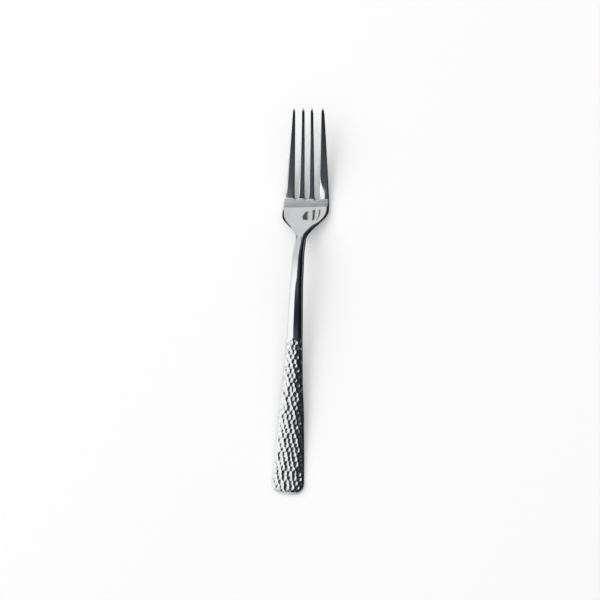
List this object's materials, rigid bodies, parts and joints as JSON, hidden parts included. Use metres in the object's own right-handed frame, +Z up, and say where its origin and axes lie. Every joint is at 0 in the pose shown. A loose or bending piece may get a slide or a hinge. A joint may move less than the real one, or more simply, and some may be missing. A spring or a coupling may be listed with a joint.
{
  "type": "table fork",
  "caption": "Table fork with curved tapering tines, a dished palm, a slim arched neck and a crowned, hammered handle with a flat back and a rounded end.",
  "frame": {"origin": "on the table, under the middle of the fork's length and width, lying face up", "axes": "+Y from the handle end to the tine tips, +Z up from the table, +X to the right seen from above"},
  "size_m": [0.0254, 0.205, 0.0148],
  "materials": {
    "polished_steel": "mirror polished stainless steel",
    "hammered_steel": "hammered and polished stainless steel"
  },
  "bodies": {
    "root": {"handle": "hammered_steel", "neck": "polished_steel", "palm": "polished_steel", "tine_1": "polished_steel", "tine_2": "polished_steel", "tine_3": "polished_steel", "tine_4": "polished_steel"}
  },
  "joints": []
}
